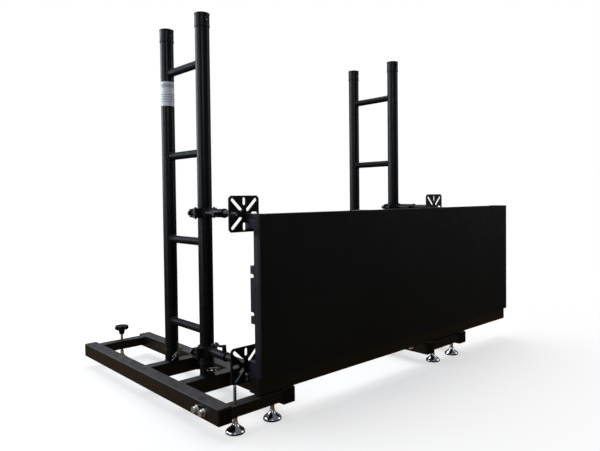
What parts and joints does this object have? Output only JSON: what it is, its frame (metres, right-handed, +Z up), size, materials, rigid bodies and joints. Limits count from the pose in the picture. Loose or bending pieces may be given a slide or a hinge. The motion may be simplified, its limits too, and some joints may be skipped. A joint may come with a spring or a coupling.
{
  "type": "display wall ground support stand",
  "caption": "Black tube base frames with ladder uprights, clamp arms and slotted plates that hold a row of flat display cabinets on a levelled stacking beam.",
  "frame": {"origin": "centre of the overall footprint, on the floor under the levelling feet", "axes": "+X to the right along the wall, +Y from the wall's front face to the rear of the base, +Z up"},
  "size_m": [1.663, 1.01, 1.309],
  "materials": {
    "frame_coat": "black satin powder coat",
    "ladder_coat": "black satin powder coat",
    "rung_coat": "black powder coat with a blue cast",
    "clamp_coat": "black coated casting",
    "plate_coat": "black powder coat",
    "plug_plastic": "ribbed black plastic",
    "zinc": "bright zinc plate",
    "black_zinc": "black zinc plate",
    "screw_zinc": "zinc-plated thread",
    "clip_steel": "bright steel",
    "chrome_foot": "polished chrome",
    "label": "silver-white film",
    "gasket_rubber": "black rubber",
    "cabinet_metal": "dark grey painted die casting",
    "display_mask": "matt black display mask",
    "box_plastic": "black textured plastic",
    "handle_plastic": "black moulded plastic",
    "knob_plastic": "black moulded plastic"
  },
  "bodies": {
    "stand": {"left_rails": "frame_coat", "right_rails": "frame_coat", "left_cross_tubes": "frame_coat", "right_cross_tubes": "frame_coat", "tube_end_caps": "plug_plastic", "rail_bolts": "zinc", "jack_bushings": "frame_coat", "base_sockets": "ladder_coat", "left_chords": "ladder_coat", "right_chords": "ladder_coat", "left_rungs": "rung_coat", "right_rungs": "rung_coat", "chord_spigots": "ladder_coat", "top_couplers": "ladder_coat", "chord_label": "label", "stacking_beam": "frame_coat", "beam_gasket": "gasket_rubber", "panel_frames": "cabinet_metal", "led_modules": "display_mask", "panel_back_boxes": "box_plastic", "panel_handles": "handle_plastic", "panel_corner_blocks": "cabinet_metal", "panel_side_locks": "handle_plastic", "clamp_bodies": "clamp_coat", "clamp_caps": "clamp_coat", "clamp_bolts": "black_zinc", "arm_sleeves": "rung_coat"},
    "arm_left_low": {"arm_plate_left_low": "plate_coat"},
    "lever_left_low": {"lever_left_low": "handle_plastic"},
    "arm_left_high": {"arm_plate_left_high": "plate_coat"},
    "lever_left_high": {"lever_left_high": "handle_plastic"},
    "arm_right_low": {"arm_plate_right_low": "plate_coat"},
    "lever_right_low": {"lever_right_low": "handle_plastic"},
    "arm_right_high": {"arm_plate_right_high": "plate_coat"},
    "lever_right_high": {"lever_right_high": "handle_plastic"},
    "pin_left_front": {"pin_left_front": "clip_steel"},
    "pin_left_rear": {"pin_left_rear": "clip_steel"},
    "pin_right_front": {"pin_right_front": "clip_steel"},
    "pin_right_rear": {"pin_right_rear": "clip_steel"},
    "foot_left_outer": {"foot_left_outer": "chrome_foot"},
    "screw_left_outer": {"screw_left_outer": "screw_zinc"},
    "foot_left_inner": {"foot_left_inner": "chrome_foot"},
    "screw_left_inner": {"screw_left_inner": "screw_zinc"},
    "foot_left_rear": {"foot_left_rear": "chrome_foot"},
    "screw_left_rear": {"screw_left_rear": "screw_zinc", "knob_left": "knob_plastic"},
    "foot_right_inner": {"foot_right_inner": "chrome_foot"},
    "screw_right_inner": {"screw_right_inner": "screw_zinc"},
    "foot_right_outer": {"foot_right_outer": "chrome_foot"},
    "screw_right_outer": {"screw_right_outer": "screw_zinc"},
    "foot_right_rear": {"foot_right_rear": "chrome_foot"},
    "screw_right_rear": {"screw_right_rear": "screw_zinc", "knob_right": "knob_plastic"}
  },
  "joints": [
    {"name": "arm_left_low_slide", "type": "slide", "parent": "stand", "child": "arm_left_low", "axis": [0, 1, 0], "range_m": [0, 0.03]},
    {"name": "lever_left_low_turn", "type": "hinge", "parent": "stand", "child": "lever_left_low", "pos_m": [-0.6735, -0.314, 0.18], "axis": [0, 0, 1], "continuous": true},
    {"name": "arm_left_high_slide", "type": "slide", "parent": "stand", "child": "arm_left_high", "axis": [0, 1, 0], "range_m": [0, 0.03]},
    {"name": "lever_left_high_turn", "type": "hinge", "parent": "stand", "child": "lever_left_high", "pos_m": [-0.6735, -0.314, 0.645], "axis": [-1, 0, 0], "continuous": true},
    {"name": "arm_right_low_slide", "type": "slide", "parent": "stand", "child": "arm_right_low", "axis": [0, 1, 0], "range_m": [0, 0.03]},
    {"name": "lever_right_low_turn", "type": "hinge", "parent": "stand", "child": "lever_right_low", "pos_m": [0.3315, -0.314, 0.18], "axis": [0, 0, 1], "continuous": true},
    {"name": "arm_right_high_slide", "type": "slide", "parent": "stand", "child": "arm_right_high", "axis": [0, 1, 0], "range_m": [0, 0.03]},
    {"name": "lever_right_high_turn", "type": "hinge", "parent": "stand", "child": "lever_right_high", "pos_m": [0.3315, -0.314, 0.645], "axis": [-1, 0, 0], "continuous": true},
    {"name": "pin_left_front_pull", "type": "slide", "parent": "stand", "child": "pin_left_front", "axis": [0, -1, 0], "range_m": [0, 0.06]},
    {"name": "pin_left_rear_pull", "type": "slide", "parent": "stand", "child": "pin_left_rear", "axis": [0, -1, 0], "range_m": [0, 0.06]},
    {"name": "pin_right_front_pull", "type": "slide", "parent": "stand", "child": "pin_right_front", "axis": [0, -1, 0], "range_m": [0, 0.06]},
    {"name": "pin_right_rear_pull", "type": "slide", "parent": "stand", "child": "pin_right_rear", "axis": [0, -1, 0], "range_m": [0, 0.06]},
    {"name": "foot_left_outer_level", "type": "slide", "parent": "stand", "child": "foot_left_outer", "axis": [0, 0, 1], "range_m": [-0.015, 0.008]},
    {"name": "screw_left_outer_turn", "type": "hinge", "parent": "foot_left_outer", "child": "screw_left_outer", "pos_m": [-0.7435, -0.472, 0.02], "axis": [0, 0, 1], "range_deg": [-3601, 1921]},
    {"name": "foot_left_inner_level", "type": "slide", "parent": "stand", "child": "foot_left_inner", "axis": [0, 0, 1], "range_m": [-0.015, 0.008]},
    {"name": "screw_left_inner_turn", "type": "hinge", "parent": "foot_left_inner", "child": "screw_left_inner", "pos_m": [-0.6035, -0.472, 0.02], "axis": [0, 0, 1], "range_deg": [-3601, 1921]},
    {"name": "foot_left_rear_level", "type": "slide", "parent": "stand", "child": "foot_left_rear", "axis": [0, 0, 1], "range_m": [-0.015, 0.008]},
    {"name": "screw_left_rear_turn", "type": "hinge", "parent": "foot_left_rear", "child": "screw_left_rear", "pos_m": [-0.6735, 0.47, 0.02], "axis": [0, 0, 1], "range_deg": [-3601, 1921]},
    {"name": "foot_right_inner_level", "type": "slide", "parent": "stand", "child": "foot_right_inner", "axis": [0, 0, 1], "range_m": [-0.015, 0.008]},
    {"name": "screw_right_inner_turn", "type": "hinge", "parent": "foot_right_inner", "child": "screw_right_inner", "pos_m": [0.2615, -0.472, 0.02], "axis": [0, 0, 1], "range_deg": [-3601, 1921]},
    {"name": "foot_right_outer_level", "type": "slide", "parent": "stand", "child": "foot_right_outer", "axis": [0, 0, 1], "range_m": [-0.015, 0.008]},
    {"name": "screw_right_outer_turn", "type": "hinge", "parent": "foot_right_outer", "child": "screw_right_outer", "pos_m": [0.4015, -0.472, 0.02], "axis": [0, 0, 1], "range_deg": [-3601, 1921]},
    {"name": "foot_right_rear_level", "type": "slide", "parent": "stand", "child": "foot_right_rear", "axis": [0, 0, 1], "range_m": [-0.015, 0.008]},
    {"name": "screw_right_rear_turn", "type": "hinge", "parent": "foot_right_rear", "child": "screw_right_rear", "pos_m": [0.3315, 0.47, 0.02], "axis": [0, 0, 1], "range_deg": [-3601, 1921]}
  ],
  "couplings": [
    {"joint": "screw_left_outer_turn", "follows": "foot_left_outer_level", "rad_per_m": 4188.8},
    {"joint": "screw_left_inner_turn", "follows": "foot_left_inner_level", "rad_per_m": 4188.8},
    {"joint": "screw_left_rear_turn", "follows": "foot_left_rear_level", "rad_per_m": 4188.8},
    {"joint": "screw_right_inner_turn", "follows": "foot_right_inner_level", "rad_per_m": 4188.8},
    {"joint": "screw_right_outer_turn", "follows": "foot_right_outer_level", "rad_per_m": 4188.8},
    {"joint": "screw_right_rear_turn", "follows": "foot_right_rear_level", "rad_per_m": 4188.8}
  ]
}
